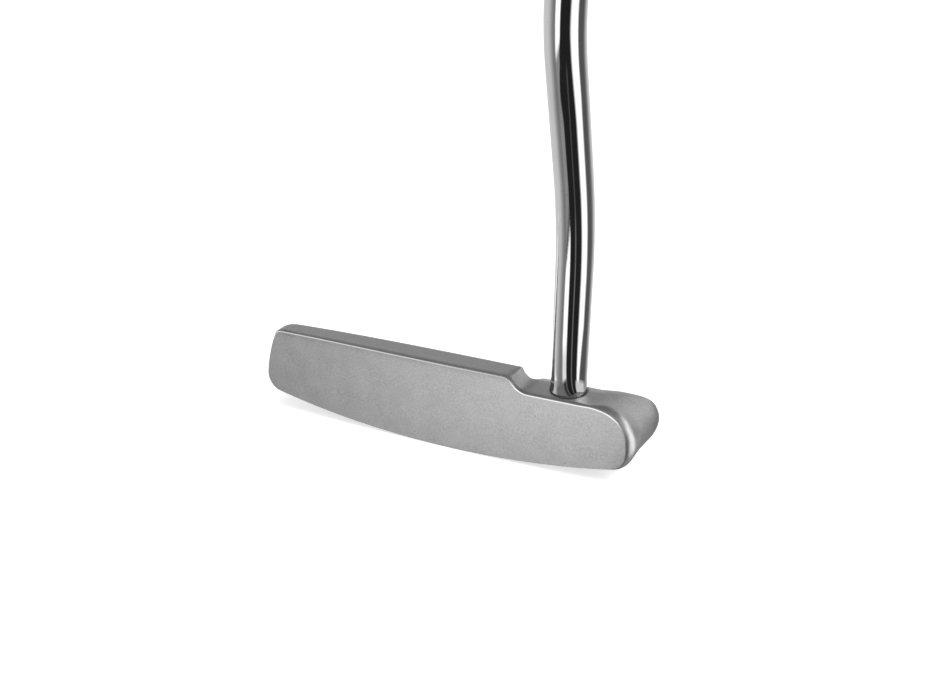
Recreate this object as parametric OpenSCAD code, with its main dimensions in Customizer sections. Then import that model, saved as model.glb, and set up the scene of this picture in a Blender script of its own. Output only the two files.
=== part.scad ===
// Heel-shafted blade putter: a one-piece cast head, a double-bend steel shaft bonded
// into it, and a rubber grip taped to the shaft's butt. Millimetres.
// The origin is the point where the sole touches the ground. +X runs towards the heel,
// +Y towards the back of the head (the face looks along -Y) and +Z is up.

/* [Head outline, seen from the front] */
// Height of the topline above the ground
head_h = 26.3; // [24:0.1:32]
// How far the heel ledge lies below the topline
ledge_drop = 3.95; // [2:0.05:6]
// Distance from the ground contact to the end of the toe
toe_reach = 63.8; // [56:0.1:76]
// Distance from the ground contact to the end of the heel
heel_reach = 57.7; // [54:0.1:64]
// Radius of the sole's camber from toe to heel
sole_r = 308; // [250:1:600]
// Foot of the step between the topline and the ledge
step_x = 27.9; // [22:0.1:29]
// Radius of the hollow at the foot of the step
step_foot_r = 5.35; // [3.5:0.05:8]
// Radius of the crown at the top of the step
step_crown_r = 4.55; // [3:0.05:8]
// Height at which the heel starts to turn in
heel_turn_z = 10.7; // [10:0.1:13]
// Width over which the heel's upper corner is rounded
heel_round_w = 12.5; // [9:0.1:14]
// Radius of the heel's lower corner
heel_low_r = 5; // [3:0.1:6]
// Radius of the bulge of the toe's side
toe_side_r = 40.5; // [34:0.5:70]
// Height of the toe's widest point
toe_wide_z = 7; // [6:0.1:9]
// Radius of the toe's upper corner
toe_top_r = 3.6; // [2:0.1:6]
// Radius of the toe's lower corner
toe_low_r = 3.9; // [2:0.1:5]

/* [Head section, seen from the toe] */
// Loft of the strike face, in degrees
face_loft = 3; // [0:0.5:5]
// Distance from the ground contact forward to the face's plane at the ground
face_ahead = 11.94; // [10.5:0.02:14]
// Thickness of the blade along the topline
blade_t = 7; // [5:0.1:8]
// Depth of the sole from the face to the middle of the back
sole_depth = 26.7; // [23:0.1:32]
// How much the back of the head curves forward at its two ends
back_sag = 3; // [1:0.1:5]
// Radius of the corners where the back meets the toe and the heel
back_corner_r = 5.5; // [3:0.1:8]
// Radius of the edge between the sole and the back
sole_back_r = 2.5; // [1:0.1:3]
// Height of the flange behind the blade
flange_h = 7.1; // [5.5:0.1:9]
// Fall of the flange's top towards the back, in degrees
flange_fall = 1.7; // [0:0.1:4]
// Radius of the fillet between the flange and the blade
flange_fillet = 2; // [1:0.1:4]
// Radius of the flange's upper back edge
flange_edge_r = 0.9; // [0.3:0.1:1.2]
// Slope of the back of the toe and heel masses, in degrees from upright
mass_slope = 47.4; // [38:0.2:52]
// Draft of the inner walls of the two masses, in degrees
mass_draft = 10; // [3:0.5:15]
// Where the heel mass starts, at the flange
heel_mass_x = 23.7; // [20:0.1:25]
// Where the heel mass's slope meets the height of the ledge
heel_slope_y = 3.2; // [2.6:0.1:5]
// Where the toe mass starts, at the flange
toe_mass_x = 40.3; // [34:0.1:48]
// Where the toe mass's slope meets the height of the topline
toe_slope_y = -4.6; // [-5.5:0.1:-3.5]
// How far the top of the toe mass lies below the topline
toe_mass_drop = 4.4; // [3:0.1:7]

/* [Sight line] */
// Width of the aiming groove on the flange
sight_w = 1.4; // [0.8:0.1:2.5]
// Depth of the aiming groove
sight_depth = 0.6; // [0.3:0.1:1.2]
// Length of the aiming groove
sight_len = 14; // [8:0.5:15]
// Distance of the aiming groove from the ground contact, towards the toe
sight_x = 3; // [0:0.1:8]
// How far the paint lies below the groove's lip
sight_paint_sink = 0.1; // [0.05:0.05:0.2]

/* [Shaft seat] */
// Place of the bore's mouth from the ground contact, towards the heel
seat_x = 36.8; // [35:0.1:38]
// Place of the bore's mouth in front of the ground contact
seat_ahead = 4.15; // [3.6:0.05:4.4]
// Depth of the shaft in the head
seat_depth = 14.5; // [10:0.5:15]
// Space under the shaft's tip at the bottom of the bore
seat_floor_gap = 0.5; // [0.2:0.1:1]
// Radial thickness of the epoxy between the shaft and the bore
bond_t = 0.1; // [0.05:0.01:0.15]
// Width of the countersink at the mouth of the bore
mouth_chamfer = 0.5; // [0.3:0.1:0.8]

/* [Shaft] */
// Length of the club along the shaft, from the ground to the top of the cap
club_len = 889; // [813:1:940]
// Diameter of the shaft's tip
tip_d = 9.7; // [9:0.1:10.2]
// Diameter of the shaft's butt
butt_d = 15.24; // [14.4:0.02:15.6]
// Wall of the tube
shaft_wall = 0.6; // [0.4:0.05:0.9]
// Length of the straight lower leg above the ledge
lower_leg = 35.5; // [25:0.5:45]
// Tilt of the lower leg towards the heel, in degrees from upright
lower_tilt = 8.9; // [5:0.1:12]
// Lean of the lower leg forwards, in degrees
lower_lean = 5.8; // [3:0.1:8]
// Radius of the lower bend, on the tube's centre line
lower_bend_r = 190; // [120:1:260]
// Length of the straight middle leg
middle_leg = 29; // [15:0.5:40]
// Tilt of the middle leg towards the heel, in degrees from upright
middle_tilt = 7.1; // [4:0.1:10]
// Lean of the middle leg forwards, in degrees
middle_lean = 14.7; // [11:0.1:18]
// Radius of the upper bend, on the tube's centre line
upper_bend_r = 137; // [90:1:200]
// Lie of the upper leg: its angle to the ground, in degrees
shaft_lie = 71.1; // [68:0.1:75]
// Number of step-downs between the butt and the tip
step_count = 12; // [6:1:16]
// Straight length above the upper bend before the first step-down
first_step = 40; // [20:1:60]
// Length of tube between the last step-down and the grip
last_plain = 3; // [2:0.5:20]
// Length of one step-down's cone
step_cone = 1.2; // [0.6:0.1:2]
// Length of the stopper inside the tip
plug_len = 8; // [4:0.5:12]
// Height of the stopper above the shaft's tip
plug_rise = 1; // [0.5:0.5:4]

/* [Grip] */
// Length of the grip
grip_len = 266; // [240:1:300]
// Width of the grip at the butt
grip_butt_w = 26; // [24:0.5:30]
// Width of the grip at its lower end
grip_end_w = 18.6; // [18:0.1:21]
// Distance from the shaft's axis to the flat front, at the butt
grip_front = 11.6; // [10.5:0.1:14]
// Distance from the shaft's axis to the grip's back, at the heel of the hand
grip_back = 18; // [15:0.1:22]
// Thickness of the rubber at the grip's lower end
grip_end_t = 1.3; // [1:0.1:2.2]
// Thickness of the tape under the grip
tape_t = 0.2; // [0.1:0.05:0.4]
// Clearance between the tube and the tape
tape_gap = 0.02; // [0.01:0.01:0.05]
// Thickness of the cap
cap_t = 4; // [3:0.1:6]
// Rounding of the cap's outer edge
cap_round = 1.6; // [0.8:0.1:2]
// Diameter of the cap's vent hole
vent_d = 3.2; // [2:0.1:5]

/* [Hidden] */

arc_steps = 10;
round_fn = 32;
tube_sides = 36;
far = 60;                       // how far cutting shapes run past the head

ledge_h = head_h - ledge_drop;
face_slope = tan(face_loft);
blade_back_y = -face_ahead + head_h * face_slope + blade_t;
back_y = sole_depth - face_ahead;
tip_r = tip_d / 2;
butt_r = butt_d / 2;
bore_r = tip_r + bond_t;
bore_depth = seat_depth + seat_floor_gap;

// Points of an arc about c, with radii rx and rz, from angle a0 to a1
function arc(c, rx, rz, a0, a1, n = arc_steps) =
    [for (i = [0 : n]) let (a = a0 + (a1 - a0) * i / n) c + [rx * cos(a), rz * sin(a)]];

// Centre of a circle that lies at distance da from a and db from b, to the left of a to b
function meet(a, da, b, db) =
    let (v = b - a, d = norm(v), t = (da * da - db * db + d * d) / (2 * d), s = sqrt(da * da - t * t))
    a + v / d * t + [-v.y, v.x] / d * s;

// Angle of the direction from a to b, from 0 to 360
function angle(a, b) = (atan2(b.y - a.y, b.x - a.x) + 360) % 360;
function unit(v) = v / norm(v);

// The list without points that repeat the one before
function distinct(points) = [for (i = [0 : len(points) - 1])
    if (i == 0 || norm(points[i] - points[i - 1]) > 0.001) points[i]];

// Closed solid through a list of rings with as many points each. It has an end face on
// its first and last ring, or runs back to its first ring where closed is true.
module loft(rings, closed = false) {
    n = len(rings[0]);
    m = len(rings);
    points = [for (ring = rings) each ring];
    sides = [for (j = [0 : (closed ? m - 1 : m - 2)], i = [0 : n - 1])
        let (k = (i + 1) % n, up = (j + 1) % m) each [
            [j * n + i, up * n + i, up * n + k],
            [j * n + i, up * n + k, j * n + k]
        ]];
    ends = closed ? [] : [
        [for (i = [0 : n - 1]) i],
        [for (i = [n - 1 : -1 : 0]) (m - 1) * n + i]
    ];
    polyhedron(points, concat(sides, ends));
}

// ---- Head ----

// Centres of the arcs that make the outline
sole_c = [0, sole_r];
toe_c = [-toe_reach + toe_side_r, toe_wide_z];
toe_low_c = meet(toe_c, toe_side_r - toe_low_r, sole_c, sole_r - toe_low_r);
toe_top_z = head_h - toe_top_r;
toe_top_c = [toe_c.x - sqrt(pow(toe_side_r - toe_top_r, 2) - pow(toe_top_z - toe_c.y, 2)), toe_top_z];
heel_low_x = heel_reach - heel_low_r;
heel_low_c = [heel_low_x, sole_r - sqrt(pow(sole_r - heel_low_r, 2) - heel_low_x * heel_low_x)];
heel_top_c = [heel_reach - heel_round_w, heel_turn_z];
step_turn = acos(1 - ledge_drop / (step_foot_r + step_crown_r));
step_foot_c = [step_x, ledge_h + step_foot_r];
step_crown_c = step_foot_c - (step_foot_r + step_crown_r) * [sin(step_turn), cos(step_turn)];

// The head's outline seen from the front, from the toe along the sole
outline = distinct(concat(
    arc(toe_low_c, toe_low_r, toe_low_r, angle(toe_c, toe_low_c), angle(sole_c, toe_low_c)),
    arc(sole_c, sole_r, sole_r, angle(sole_c, toe_low_c), angle(sole_c, heel_low_c), 24),
    arc(heel_low_c, heel_low_r, heel_low_r, angle(sole_c, heel_low_c), 360),
    arc(heel_top_c, heel_round_w, ledge_h - heel_turn_z, 0, 90),
    arc(step_foot_c, step_foot_r, step_foot_r, -90, -90 - step_turn),
    arc(step_crown_c, step_crown_r, step_crown_r, 90 - step_turn, 90),
    arc(toe_top_c, toe_top_r, toe_top_r, 90, angle(toe_c, toe_top_c)),
    arc(toe_c, toe_side_r, toe_side_r, angle(toe_c, toe_top_c), angle(toe_c, toe_low_c))
));

// A section in the Y-Z plane, drawn out along X from x0 to x1
module along_x(x0, x1) {
    translate([x0, 0, 0]) rotate([90, 0, 90]) linear_extrude(x1 - x0) children();
}

// The back of the head seen from above: one long arc with rounded corners
back_half = (toe_reach + heel_reach) / 2;
back_mid = (heel_reach - toe_reach) / 2;
back_r = (back_half * back_half + back_sag * back_sag) / (2 * back_sag);
back_c = [back_mid, back_y - back_r];
function back_corner(side) =
    let (x = side * (back_half - back_corner_r))
    [back_mid + x, back_c.y + sqrt(pow(back_r - back_corner_r, 2) - x * x)];
heel_back_c = back_corner(1);
toe_back_c = back_corner(-1);
plan = distinct(concat(
    [[-toe_reach, -far], [heel_reach, -far]],
    arc(heel_back_c, back_corner_r, back_corner_r, 0, angle(back_c, heel_back_c)),
    arc(back_c, back_r, back_r, angle(back_c, heel_back_c), angle(back_c, toe_back_c), 24),
    arc(toe_back_c, back_corner_r, back_corner_r, angle(back_c, toe_back_c), 180)
));

// Blade and flange in section
function flange_z(y) = flange_h - y * tan(flange_fall);
fillet_y = blade_back_y + flange_fillet;
edge_y = back_y - flange_edge_r;
blade_section = concat(
    [[-far, -far], [back_y - sole_back_r, -far], [back_y - sole_back_r, 0]],
    arc([back_y - sole_back_r, sole_back_r], sole_back_r, sole_back_r, -90, 0),
    arc([edge_y, flange_z(edge_y) - flange_edge_r], flange_edge_r, flange_edge_r, 0, 90),
    arc([fillet_y, flange_z(fillet_y) + flange_fillet], flange_fillet, flange_fillet, 270, 180),
    [[blade_back_y, far], [-far, far]]
);

// Section of a mass: a slope that meets the height z at y, under a flat top
module mass_section(y, z, top) {
    run = (z + far) * tan(90 - mass_slope);
    rise_y = y + (z - top) / tan(mass_slope);
    polygon([[-far, -far], [y + run, -far], [rise_y, top], [-far, top]]);
}

// The heel mass and the toe mass, with drafted inner walls
module heel_mass() {
    intersection() {
        along_x(0, far * 2) mass_section(heel_slope_y, ledge_h, head_h);
        translate([heel_mass_x, 0, flange_h]) rotate([0, mass_draft, 0])
            translate([0, -far, -far]) cube([far * 2, far * 2, far * 2]);
    }
}

module toe_mass() {
    intersection() {
        along_x(-far * 2, 0) mass_section(toe_slope_y, head_h, head_h - toe_mass_drop);
        translate([-toe_mass_x, 0, flange_h]) rotate([0, -mass_draft, 0])
            translate([-far * 2, -far, -far]) cube([far * 2, far * 2, far * 2]);
    }
}

// The place and the slope of the aiming groove on the flange
sight_y = (fillet_y + edge_y) / 2;
module on_flange(sink) {
    translate([-sight_x, sight_y, flange_z(sight_y) - sink]) rotate([-flange_fall, 0, 0]) children();
}

module head() {
    color("silver") difference() {
        intersection() {
            rotate([90, 0, 0]) translate([0, 0, -far]) linear_extrude(far * 2) polygon(outline);
            translate([0, 0, -far]) linear_extrude(far * 2) polygon(plan);
            union() {
                along_x(-far * 2, far * 2) polygon(blade_section);
                heel_mass();
                toe_mass();
            }
        }
        translate([0, -face_ahead, 0]) rotate([-face_loft, 0, 0])
            translate([-far * 2, -far * 2, -far]) cube([far * 4, far * 2, far * 2]);
        on_flange(sight_depth) translate([-sight_w / 2, -sight_len / 2, 0])
            cube([sight_w, sight_len, far]);
        at_seat() translate([0, 0, -bore_depth]) cylinder(r = bore_r, h = bore_depth + far, $fn = round_fn);
        at_seat() mouth_cone(far);
    }
}

module sight_line() {
    color("black") on_flange(sight_depth) translate([-sight_w / 2, -sight_len / 2, 0])
        cube([sight_w, sight_len, sight_depth - sight_paint_sink]);
}

// ---- Shaft ----

// Direction of a leg that tilts towards the heel and leans forwards
function leg(tilt, lean) = unit([sin(tilt), -sin(lean), cos(tilt) * cos(lean)]);
lower_d = leg(lower_tilt, lower_lean);
middle_d = leg(middle_tilt, middle_lean);
upper_d = leg(90 - shaft_lie, 0);

// Turn of a bend, the way to its centre, and where it ends
function turn(d, e) = acos(d * e);
function inward(d, e) = unit(e - (d * e) * d);
function bend_end(p, d, e, r) = p + r * (1 - cos(turn(d, e))) * inward(d, e) + r * sin(turn(d, e)) * d;

seat_p = [seat_x, -seat_ahead, ledge_h];
bend1_p = seat_p + lower_leg * lower_d;
middle_p = bend_end(bend1_p, lower_d, middle_d, lower_bend_r);
bend2_p = middle_p + middle_leg * middle_d;
upper_p = bend_end(bend2_p, middle_d, upper_d, upper_bend_r);
bent_len = lower_leg + middle_leg
    + (lower_bend_r * turn(lower_d, middle_d) + upper_bend_r * turn(middle_d, upper_d)) * PI / 180;
upper_leg = club_len - cap_t - ledge_h / lower_d.z - bent_len;
step_pitch = (upper_leg - grip_len - last_plain - first_step) / (step_count - 1);
step_rise = (butt_r - tip_r) / step_count;

// Places children with +Z along d at the point p
module along(p, d) {
    translate(p) rotate([0, acos(d.z), atan2(d.y, d.x)]) children();
}

module at_seat() {
    along(seat_p, lower_d) children();
}

// Places children on the upper leg, with their +X out of the grip's flat front
module at_upper(up) {
    translate(upper_p + up * upper_d) rotate([0, 90 - shaft_lie, 0]) rotate([0, 0, 180]) children();
}

// Countersink at the bore's mouth: it widens by mouth_chamfer at the ledge
module mouth_cone(above) {
    rotate_extrude($fn = round_fn) polygon([
        [0, -mouth_chamfer - above / 1000], [bore_r, -mouth_chamfer],
        [bore_r + mouth_chamfer, 0], [bore_r + mouth_chamfer, above], [0, above]
    ]);
}

// Stations along the tube's centre line: place, direction and outer radius of each
function bend_stations(p, d, e, r, n) = [for (i = [1 : n])
    let (a = turn(d, e) * i / n, w = inward(d, e))
    [p + r * (1 - cos(a)) * w + r * sin(a) * d, cos(a) * d + sin(a) * w, tip_r]];
function step_at(i) = first_step + i * step_pitch;
stations = concat(
    [[seat_p - seat_depth * lower_d, lower_d, tip_r], [bend1_p, lower_d, tip_r]],
    bend_stations(bend1_p, lower_d, middle_d, lower_bend_r, 8),
    [[bend2_p, middle_d, tip_r]],
    bend_stations(bend2_p, middle_d, upper_d, upper_bend_r, 12),
    [for (i = [0 : step_count - 1], up = [0, 1])
        [upper_p + (step_at(i) + up * step_cone) * upper_d, upper_d, tip_r + (i + up) * step_rise]],
    [[upper_p + upper_leg * upper_d, upper_d, butt_r]]
);

// Ring of n points round a station, at the distance off inside the tube's surface
function tube_ring(station, off, n) =
    let (d = station[1], u = unit([d.z, 0, -d.x]), v = cross(d, u), r = station[2] - off)
    [for (i = [0 : n - 1]) station[0] + r * (cos(360 * i / n) * u + sin(360 * i / n) * v)];

module shaft() {
    last = len(stations) - 1;
    color("gainsboro") loft(concat(
        [for (i = [0 : last]) tube_ring(stations[i], 0, tube_sides)],
        [for (i = [last : -1 : 0]) tube_ring(stations[i], shaft_wall, tube_sides)]
    ), closed = true);
}

module tip_plug() {
    color("tan") at_seat() translate([0, 0, plug_rise - seat_depth])
        cylinder(r = tip_r - shaft_wall, h = plug_len, $fn = round_fn);
}

module shaft_bond() {
    color("dimgray") at_seat() difference() {
        union() {
            translate([0, 0, -bore_depth]) cylinder(r = bore_r, h = bore_depth, $fn = round_fn);
            mouth_cone(0);
        }
        translate([0, 0, -seat_depth]) cylinder(r = tip_r, h = seat_depth + far, $fn = round_fn);
    }
}

// ---- Grip ----

grip_foot = upper_leg - grip_len;
tape_r = butt_r + tape_gap + tape_t;

module grip_tape() {
    color("beige") at_upper(grip_foot) difference() {
        cylinder(r = tape_r, h = grip_len, $fn = round_fn);
        translate([0, 0, -1]) cylinder(r = butt_r + tape_gap, h = grip_len + 2, $fn = round_fn);
    }
}

// Ring of the grip at the share s of its length from the foot, shrunk by off:
// a flattened front, a round back that swells towards the butt
function swell(s) = s < 0.5 ? 0 : pow(sin((s - 0.5) * 180), 2);
function blend(a, b, s) = a + (b - a) * s;
function grip_half_w(s) = blend(grip_end_w, grip_butt_w, pow(s, 0.7)) / 2;
function grip_front_at(s) = blend(tape_r + grip_end_t, grip_front, pow(s, 0.7));
function grip_back_at(s) = blend(tape_r + grip_end_t, blend(grip_front, grip_back, pow(s, 4)), pow(s, 0.7));
function superpow(v, k) = sign(v) * pow(abs(v), k);
function grip_ring(s, z, off, n) = [for (i = [0 : n - 1]) let (
        a = 360 * i / n,
        flat = 0.45 + 0.55 * (1 - s) * (1 - s),
        front = cos(a) > 0,
        x = front ? (grip_front_at(s) - off) * superpow(cos(a), flat) : (grip_back_at(s) - off) * cos(a),
        y = (grip_half_w(s) - off) * (front ? superpow(sin(a), flat) : sin(a))
    ) [x, y, z]];

grip_sides = 32;
grip_rings = 14;

module grip() {
    color("black") at_upper(grip_foot) difference() {
        loft([for (j = [0 : grip_rings])
            grip_ring(j / grip_rings, grip_len * j / grip_rings, 0, grip_sides)]);
        translate([0, 0, -1]) cylinder(r = tape_r, h = grip_len + 2, $fn = round_fn);
    }
}

module grip_cap() {
    color("black") at_upper(upper_leg) difference() {
        loft(concat(
            [grip_ring(1, 0, 0, grip_sides)],
            [for (a = [0 : 30 : 90])
                grip_ring(1, cap_t - cap_round + cap_round * sin(a), cap_round * (1 - cos(a)), grip_sides)]
        ));
        translate([0, 0, -1]) cylinder(r = vent_d / 2, h = cap_t + 2, $fn = round_fn);
    }
}

head();
shaft();
tip_plug();
shaft_bond();
grip_tape();
grip();
grip_cap();
sight_line();
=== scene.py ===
import math

import bmesh
import bpy
import numpy as np
from mathutils import Matrix


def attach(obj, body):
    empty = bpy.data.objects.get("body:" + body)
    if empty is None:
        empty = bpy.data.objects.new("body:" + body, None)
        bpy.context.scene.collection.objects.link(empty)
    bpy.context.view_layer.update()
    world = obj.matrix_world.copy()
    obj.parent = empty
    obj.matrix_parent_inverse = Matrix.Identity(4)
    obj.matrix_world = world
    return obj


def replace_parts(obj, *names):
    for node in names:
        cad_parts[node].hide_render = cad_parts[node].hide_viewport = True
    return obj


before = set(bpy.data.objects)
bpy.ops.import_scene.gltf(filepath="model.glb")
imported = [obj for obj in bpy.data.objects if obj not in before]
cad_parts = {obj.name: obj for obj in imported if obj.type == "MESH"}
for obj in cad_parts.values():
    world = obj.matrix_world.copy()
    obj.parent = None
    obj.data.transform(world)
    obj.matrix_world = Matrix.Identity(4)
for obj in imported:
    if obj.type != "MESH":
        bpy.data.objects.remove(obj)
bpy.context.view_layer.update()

# A heel-shafted blade putter. Lengths are in millimetres up to the moment a mesh is
# made, where MM turns them into metres. x runs from toe to heel, y from face to back, and
# z up. Sizes that the part's source has too mostly go by its names.
MM = 0.001

# ---- Sizes of the head ----
HEAD_H = 26.3
LEDGE_DROP = 3.95
LEDGE_H = HEAD_H - LEDGE_DROP
TOE_REACH = 64.1
SOLE_R = 308.0
STEP_X = 27.9
STEP_FOOT_R = 5.35
STEP_CROWN_R = 4.55
STEP_CROWN_BACK_R = 0.9
# The heel at the face and at the back: its reach, the width of its upper round, the
# height where that round starts, and the radius of its lower corner.
HEEL_FRONT = (58.5, 8.16, 12.8, 6.85)
HEEL_BACK = (58.94, 13.65, 10.9, 9.65)
TOE_SIDE_R = 46.4
TOE_WIDE_Z = 3.35
TOE_TOP_R = 3.0
TOE_LOW_R = 5.2
FACE_LOFT = math.radians(3)
FACE_AHEAD = 11.94
BLADE_T = 7.66
SOLE_DEPTH = 26.70
BACK_SAG = 2.5
FLANGE_H = 7.1
FLANGE_FALL = math.radians(1.7)
MASS_SLOPE = math.radians(47.4)
MASS_DRAFT = math.radians(10)
MASS_WALL_Z = 14.35
HEEL_MASS_X = 24.55
TOE_MASS_X = 41.0
SIGHT_X = 3.0
SIGHT_W = 1.4
SIGHT_LEN = 14.0
SIGHT_DEPTH = 0.6

# ---- Roundings of the head's edges ----
FACE_EDGE = 0.38
EDGE_GROWTH = 0.17
FACE_EDGE_R = 0.95
TOP_FALL = 0.32
SOLE_EDGE = 0.12
HEEL_EDGE = 1.74
HEEL_EDGE_R = 2.8
RIM_INSET = 0.02
RIM_BEVEL = 0.22
RIM_DEPTH = 0.08
RIM_FADE = 0.12
# Share of the rim's painted highlight that is left towards the heel.
HEEL_HIGHLIGHT_SHARE = 0.7
BACK_R = 5.4
HEEL_BACK_R = 9.1
CAVITY_EDGE_R = 1.1
WALL_FILLET = 2.0
WALL_EDGE_R = 1.2
MASS_FILLET = 1.9
HEEL_DOME_R = 10.5
HEEL_DOME_Z = 25.6
HEEL_CREST_Y = 3.94
HEEL_CREST_Z = 21.35
CREST_CUT = 1.0
TOE_DOME_R = 4.0
TOE_DOME_Z = 21.85
TOE_CREST_Y = -1.5
TOE_CREST_Z = 22.85
TOE_SOFT_R = 3.1
BLADE_SWELL = 0.44
BLADE_SWELL_LEN = 30.0
BLADE_FULL_X = -0.8
GROOVE_EDGE_R = 0.15
BORE_EDGE_R = 0.12

# Zones where one size turns into another: the place where the change starts and its
# length, which is below zero where the change runs towards lower values.
DEEP_ZONE_Y = (-11.4, 8.0)
FALL_ZONE_X = (-50, 60)
FALL_ZONE_Z = (12, 8)
FRONT_LEDGE_ZONE_X = (43, 7)
BACK_LEDGE_ZONE_X = (20, 8)
GROWTH_ZONE_X = (-50, 55)
HEEL_ZONE_X = (45.5, 7.8)
HEEL_ZONE_Z = (4.8, 6.5)
SOLE_ZONE_Z = (7, -5)
CREST_ZONE_X = (49.6, -6)
TOE_ZONE_X = (-54, -7)

# ---- Sizes of the shaft, its seat and the grip ----
SEAT = np.array([36.8, -4.15, LEDGE_H])
SEAT_DEPTH = 14.5
BORE_DEPTH = 15.0
TIP_R = 4.85
BUTT_R = 7.62
BOND_T = 0.1
BOND_OVERLAP = 0.02
BOND_SHY = 0.06
BOND_CREEP = 0.22
BOND_SINK = 0.12
MOUTH_CHAMFER = 0.25
SHAFT_WALL = 0.6
LOWER_LEG = 35.5
LOWER_TILT = 8.9
LOWER_LEAN = 5.8
LOWER_BEND_R = 190.0
MIDDLE_LEG = 29.0
MIDDLE_TILT = 7.1
MIDDLE_LEAN = 14.7
UPPER_BEND_R = 137.0
SHAFT_LIE = 71.1
CLUB_LEN = 889.0
STEP_COUNT = 12
FIRST_STEP = 40.0
LAST_PLAIN = 3.0
STEP_CONE = 1.2
GRIP_LEN = 266.0
GRIP_BUTT_W = 26.0
GRIP_END_W = 18.6
GRIP_FRONT = 11.6
GRIP_BACK = 18.0
GRIP_END_T = 1.3
GRIP_LIP = 0.5
GRIP_LIP_LEN = 1.0
RELIEF = 0.42
RELIEF_FOOT = 16
RELIEF_TOP = GRIP_LEN - 14
RELIEF_FADE = 5
DIMPLE_PITCH = 3.4
DIMPLE_R = 0.34
GROOVE_PITCH = 5.2
GROOVE_SLANT = 1.7
GROOVE_HALF_W = 0.12
PLAIN_BAND = 0.24
TAPE_T = 0.22
CAP_T = 4.0
CAP_TOP = CAP_T - 0.09
CAP_ROUND = 1.6
CAP_SEAM = 0.12
VENT_R = 1.6
VENT_LIP = 0.5


# ---- Numbers ----

def unit(v):
    """A vector, or each row of an array of them, at length one."""
    return v / np.linalg.norm(v, axis=-1, keepdims=True)


def smooth(t):
    """0 below 0, 1 above 1, and 3t^2 - 2t^3 between."""
    t = np.clip(t, 0, 1)
    return t * t * (3 - 2 * t)


def change(v, start, length):
    """A smooth step from 0 at the start of a zone to 1 at its end."""
    return smooth((v - start) / length)


def ramp_at(v, middle, width):
    """A smooth step from 0 to 1 of a given width about its middle."""
    return smooth((v - middle) / width + 0.5)


def sector(v, start, start_width, end, end_width):
    """1 between start and end and 0 outside, with smooth edges of the given widths."""
    return ramp_at(v, start, start_width) * ramp_at(-v, -end, end_width)


def towards(value, target, share):
    """A value carried a share of the way towards a target."""
    return value + (target - value) * share


def polar(centre, a, r):
    """x and y of the points at the angle a in degrees and the distance r from a centre."""
    return (centre[0] + r * np.cos(np.radians(a)),
            centre[1] + r * np.sin(np.radians(a)))


# ---- Meshes from arrays ----

def volume(points, quads):
    """Signed volume of a closed mesh of quads: the sum of a . (b x c) / 6 over its
    triangles. It is above zero when the faces point outwards."""
    a, b, c, d = (points[quads[:, k]] for k in range(4))
    return (np.einsum("ij,ij->i", a, np.cross(b, c) + np.cross(c, d))).sum() / 6


def new_object(name, data):
    """An object with its data, linked to the scene."""
    thing = bpy.data.objects.new(name, data)
    bpy.context.scene.collection.objects.link(thing)
    return thing


def make_piece(name, points, quads, material):
    """A mesh object from points in millimetres and quads, turned to face outwards."""
    if volume(points, quads) < 0:
        quads = quads[:, ::-1]
    mesh = bpy.data.meshes.new(name)
    mesh.from_pydata((points * MM).tolist(), [], quads.tolist())
    return dress(new_object(name, mesh), material)


def dress(piece, material, sharp_deg=32):
    """Smooth shading with crisp edges above an angle, the material, and the piece put under the
    body root.
    """
    mesh = piece.data
    mesh.polygons.foreach_set("use_smooth", np.ones(len(mesh.polygons), bool))
    mesh.set_sharp_from_angle(angle=math.radians(sharp_deg))
    mesh.materials.clear()
    mesh.materials.append(material)
    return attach(piece, "root")


def grid_faces(rows, columns, close_rows=False, close_columns=True):
    """Quads between the points of a grid that is stored row by row. Closed rows run back to
    the first row, and closed columns run back to the first column."""
    j = np.arange(rows if close_rows else rows - 1)[:, None]
    i = np.arange(columns if close_columns else columns - 1)[None, :]
    up, side = (j + 1) % rows, (i + 1) % columns
    quads = [j * columns + i, j * columns + side, up * columns + side, up * columns + i]
    return np.stack([q + 0 * (i + j) for q in quads], -1).reshape(-1, 4)


# ---- Flat outlines ----

def arc(centre, rx, rz, start, end, n):
    """Points on an ellipse: centre + (rx cos a, rz sin a), with a in equal steps."""
    a = np.radians(np.linspace(start, end, n))
    return np.stack([centre[0] + rx * np.cos(a), centre[1] + rz * np.sin(a)], -1)


def angle(a, b):
    """Angle in degrees, from 0 to 360, of the way from a to b."""
    return math.degrees(math.atan2(b[1] - a[1], b[0] - a[0])) % 360


def meet(a, from_a, b, from_b):
    """The point at given distances from a and b, to the left of the way from a to b."""
    v = b - a
    d = np.linalg.norm(v)
    t = (from_a ** 2 - from_b ** 2 + d * d) / (2 * d)
    s = math.sqrt(from_a ** 2 - t * t)
    return a + v / d * t + np.array([-v[1], v[0]]) / d * s


def soft_join(start, way_in, end, way_out):
    """Points of the parabola from start to end that leaves along way_in and arrives from
    the direction way_out: its control point is where those two lines meet."""
    gap = end - start
    cross = way_in[0] * way_out[1] - way_in[1] * way_out[0]
    corner = start + way_in * (gap[0] * way_out[1] - gap[1] * way_out[0]) / cross
    t = np.linspace(0, 1, 10)[1:-1, None]
    return (1 - t) ** 2 * start + 2 * t * (1 - t) * corner + t ** 2 * end


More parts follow.
